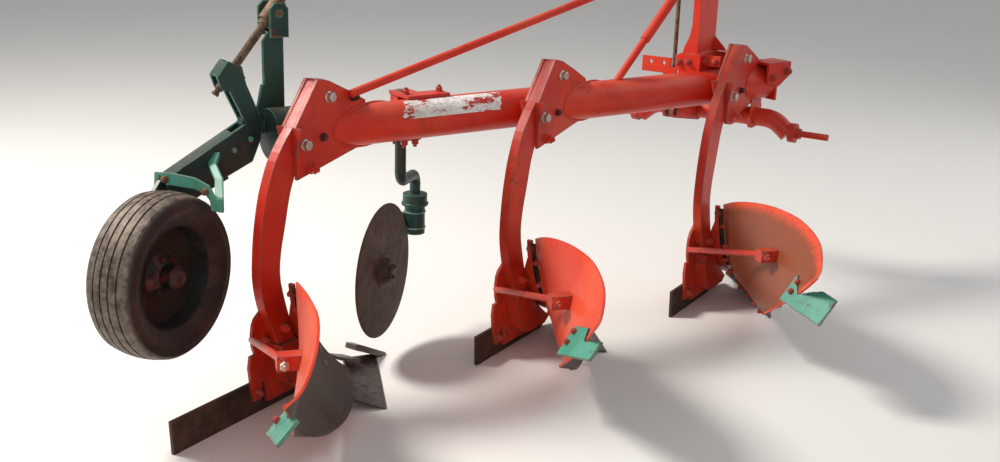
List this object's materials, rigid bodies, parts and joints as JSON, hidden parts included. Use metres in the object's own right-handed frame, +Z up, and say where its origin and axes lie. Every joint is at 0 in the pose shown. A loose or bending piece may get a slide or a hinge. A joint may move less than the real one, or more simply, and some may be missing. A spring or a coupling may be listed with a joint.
{
  "type": "moldboard plough",
  "caption": "Mounted right-hand moldboard plough with a slanting tube beam, curved bodies, depth wheel, disc coulter, mast and cranked cross shaft.",
  "frame": {"origin": "on the sole of the rear landside, 0.273 m ahead of its heel, in the middle of its thickness", "axes": "+X to the right of travel, +Y forward, +Z up"},
  "size_m": [1.9109, 3.207, 1.52],
  "materials": {
    "red_paint": "satin",
    "green_paint": "satin",
    "dark_steel": "matte",
    "worn_steel": "satin",
    "rusty_steel": "matte",
    "tyre_rubber": "matte"
  },
  "bodies": {
    "frame": {"beam": "red_paint", "front_end": "red_paint", "leg_rear": "red_paint", "leg_middle": "red_paint", "leg_front": "red_paint", "bracket_rear": "red_paint", "bracket_middle": "red_paint", "bracket_front": "red_paint", "frog_rear": "red_paint", "frog_middle": "red_paint", "frog_front": "red_paint", "landside_rear": "dark_steel", "landside_middle": "dark_steel", "landside_front": "dark_steel", "share_rear": "worn_steel", "share_middle": "worn_steel", "share_front": "worn_steel", "point_rear": "worn_steel", "point_middle": "worn_steel", "point_front": "worn_steel", "shin_rear": "red_paint", "shin_middle": "red_paint", "shin_front": "red_paint", "moldboard_rear": "red_paint", "moldboard_middle": "red_paint", "moldboard_front": "red_paint", "stay_rear": "red_paint", "stay_middle": "red_paint", "stay_front": "red_paint", "tail_rear": "green_paint", "tail_middle": "green_paint", "tail_front": "green_paint", "mast": "red_paint", "mast_foot": "red_paint", "long_stay": "red_paint", "short_brace": "red_paint", "shaft_bearing": "red_paint", "screw_guide": "red_paint", "wheel_bracket": "green_paint", "coulter_clamp": "red_paint", "coulter_stem": "green_paint"},
    "wheel_arm": {"wheel_arm": "green_paint", "scraper": "green_paint"},
    "depth_wheel": {"wheel_disc": "green_paint", "tyre": "tyre_rubber"},
    "depth_screw": {"swivel_block": "rusty_steel", "spindle": "rusty_steel"},
    "depth_nut": {"nut": "rusty_steel"},
    "cross_shaft": {"cross_shaft": "red_paint"},
    "levelling_screw": {"lever_screw": "rusty_steel"},
    "coulter_arm": {"coulter_arm": "green_paint"},
    "coulter_disc": {"coulter_disc": "worn_steel"}
  },
  "joints": [
    {"name": "depth_arm", "type": "hinge", "parent": "frame", "child": "wheel_arm", "pos_m": [-0.1476, 0.27374, 0.955], "axis": [0.9168, -0.3993, 0], "range_deg": [-10, 12.5]},
    {"name": "depth_wheel_spin", "type": "hinge", "parent": "wheel_arm", "child": "depth_wheel", "pos_m": [-0.143, -0.147, 0.534], "axis": [0.9905, 0.1374, 0], "continuous": true},
    {"name": "depth_screw_swivel", "type": "hinge", "parent": "frame", "child": "depth_screw", "pos_m": [-0.11047, 0.35893, 1.318], "axis": [0.9168, -0.3993, 0], "range_deg": [-3.3, 2.6]},
    {"name": "depth_nut_slide", "type": "slide", "parent": "depth_screw", "child": "depth_nut", "axis": [-0.2523, -0.5792, -0.7752], "range_m": [-0.0277, 0.0346]},
    {"name": "cross_shaft_turn", "type": "hinge", "parent": "frame", "child": "cross_shaft", "pos_m": [0.657, 2.4, 0.771], "axis": [1, 0, 0], "range_deg": [-12, 12]},
    {"name": "levelling_screw_slide", "type": "slide", "parent": "frame", "child": "levelling_screw", "axis": [0, 0, 1], "range_m": [-0.0571, 0.0571]},
    {"name": "coulter_swivel", "type": "hinge", "parent": "frame", "child": "coulter_arm", "pos_m": [-0.024, 1.055, 0.457], "axis": [0, 0, 1], "range_deg": [-34, 6]},
    {"name": "coulter_spin", "type": "hinge", "parent": "coulter_arm", "child": "coulter_disc", "pos_m": [0.05401, 0.74672, 0.342], "axis": [0.9694, 0.2453, 0], "continuous": true}
  ],
  "couplings": [
    {"joint": "depth_screw_swivel", "follows": "depth_arm", "ratio": -0.25},
    {"joint": "depth_nut_slide", "follows": "depth_arm", "m_per_rad": 0.157},
    {"joint": "levelling_screw_slide", "follows": "cross_shaft_turn", "m_per_rad": -0.27}
  ]
}
